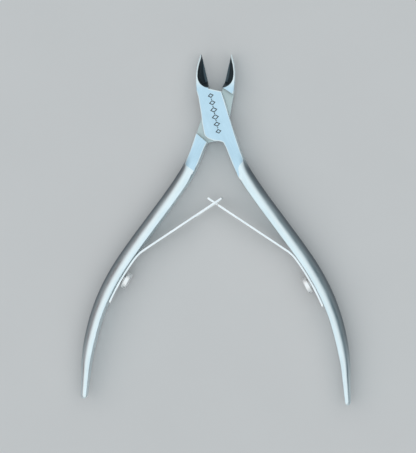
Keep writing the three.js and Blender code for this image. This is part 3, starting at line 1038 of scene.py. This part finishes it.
def floor_material():
    material, tree, shader = new_material("floor")
    where = add(tree, "TexCoord").outputs["Object"]
    mottle = noise(tree, where, (40.0, 40.0, 40.0), 4.0, 0.6)
    feed(tree, shader.inputs["Base Color"], mix_colour(tree, mottle, *FLOOR_COLOURS))
    shader.inputs["Roughness"].default_value = 0.8
    shader.inputs["Specular IOR Level"].default_value = 0.2
    return material


def dress(obj, material):
    obj.data.materials.clear()
    obj.data.materials.append(material)


# The nipper

LEVER = lever_steel()
SPRING = steel("spring_steel", SPRING_COLOUR, roughness=0.22, polish=0.3)[0]
SCREW = steel("screw_steel", SCREW_COLOUR, roughness=0.48, streaks=0.25, polish=0.3, anisotropy=0.0)[0]


def build_lever(name, shape, matrix, body, node, on_top):
    obj = lever_mesh(name, shape, on_top)
    finish_lever(obj)
    place(obj, matrix, body, node)
    dress(obj, LEVER)


def build_ornament():
    obj = ornament_mesh("plate_ornament")
    move(obj, UPPER)
    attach(obj, "upper_half")
    dress(obj, etched_black())


def build_leaf(side, shape, matrix, crossing_x, slotted):
    """One bent strip that stands for a spring's foot and arm."""
    beyond = SLOT_BEYOND if slotted else TONGUE_BEYOND
    line = LeafLine(station(shape["foot"]), station(shape["clamp"]), crossing_x, beyond)
    leaf = leaf_mesh(side + "_leaf_spring", line, slotted)
    move(leaf, matrix)
    dress(leaf, SPRING)
    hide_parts(side + "_spring_foot", side + "_spring_arm")
    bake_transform(leaf)


def build_clamp_screw(side, shape, matrix, body, slot_turn):
    name = side + "_clamp_screw"
    screw = screw_mesh(name, clamp_screw_profile(), CLAMP_SLOT, CLAMP_SLOT_DEPTH, slot_turn)
    move(screw, clamp_matrix(station(shape["clamp"])))
    place(screw, matrix, body, side + "_spring_screw")
    dress(screw, SCREW)


def build_pivot_screw():
    screw = screw_mesh("joint_screw", pivot_screw_profile(), PIVOT_SLOT, PIVOT_SLOT_DEPTH, slot_turn=35)
    move(screw, Matrix.Rotation(math.pi, 4, "X"))
    place(screw, UPPER, "upper_half", "pivot_screw")
    dress(screw, SCREW)


build_lever("upper_lever_steel", UPPER_SHAPE, UPPER, "upper_half", "upper_lever", on_top=True)
build_lever("lower_lever_steel", LOWER_SHAPE, LOWER, "lower_half", "lower_lever", on_top=False)
build_ornament()
build_leaf("right", UPPER_SHAPE, UPPER, CROSSING[0], slotted=False)
build_clamp_screw("right", UPPER_SHAPE, UPPER, "upper_half", slot_turn=24)
build_leaf("left", LOWER_SHAPE, LOWER, -CROSSING[0], slotted=True)
build_clamp_screw("left", LOWER_SHAPE, LOWER, "lower_half", slot_turn=36)
build_pivot_screw()


# Floor, light and camera


def floor(reach=4.0, level=-0.00002):
    """A hair below the nipper, so that the two don't share a plane."""
    corners = [(-reach, -reach), (reach, -reach), (reach, reach), (-reach, reach)]
    obj = mesh_from("floor", [(x, y, level) for x, y in corners], [(0, 1, 2, 3)])
    obj.data.materials.append(floor_material())


# near the horizon to the left, to the right and along Y, then higher up and overhead
SKY_LEFT, SKY_RIGHT, SKY_ENDS = (0.2, 0.125, 0.12, 1), (0.012, 0.06, 0.09, 1), (0.72, 0.78, 0.8, 1)
SKY_HIGH, SKY_TOP = (1.0, 1.03, 1.04, 1), (0.82, 0.94, 1.0, 1)


def studio_light():
    """A soft dome: bright high up, dark near the horizon on both sides and warmer on the left."""
    world = bpy.data.worlds.new("studio")
    bpy.context.scene.world = world
    world.use_nodes = True
    tree = world.node_tree
    direction = add(tree, "TexCoord").outputs["Generated"]
    parts = add(tree, "SeparateXYZ", None, Vector=direction).outputs
    low = mix_colour(tree, ramp(tree, parts[0], -0.5, 0.5), SKY_LEFT, SKY_RIGHT)
    lengthwise = ramp(tree, calculate(tree, "ABSOLUTE", parts[1]), 0.5, 0.95)
    low = mix_colour(tree, lengthwise, low, SKY_ENDS)
    height = calculate(tree, "MULTIPLY_ADD", parts[0], -0.08, parts[2])
    rising = ramp(tree, height, 0.3, 0.72)
    high = mix_colour(tree, ramp(tree, parts[2], 0.85, 0.98), SKY_HIGH, SKY_TOP)
    sky = mix_colour(tree, rising, low, high)
    background = tree.nodes["Background"]
    feed(tree, background.inputs["Color"], sky)
    background.inputs["Strength"].default_value = 1.0


def camera(distance=0.6, frame_height=0.1223, sensor=36):
    """Almost straight above, tilted a little from the right, framing the whole nipper."""
    tilt = math.radians(4)
    target = PIVOT + Vector((-2.06, -29.3, 0)) * MM
    data = bpy.data.cameras.new("camera")
    data.lens = sensor * distance / frame_height
    data.dof.use_dof = False
    obj = bpy.data.objects.new("camera", data)
    bpy.context.scene.collection.objects.link(obj)
    obj.location = target + distance * Vector((math.sin(tilt), 0, math.cos(tilt)))
    obj.rotation_euler = (0, tilt, math.radians(0.1))
    bpy.context.scene.camera = obj


floor()
studio_light()
camera()
bpy.context.scene.view_settings.view_transform = "Standard"

bpy.context.view_layer.update()
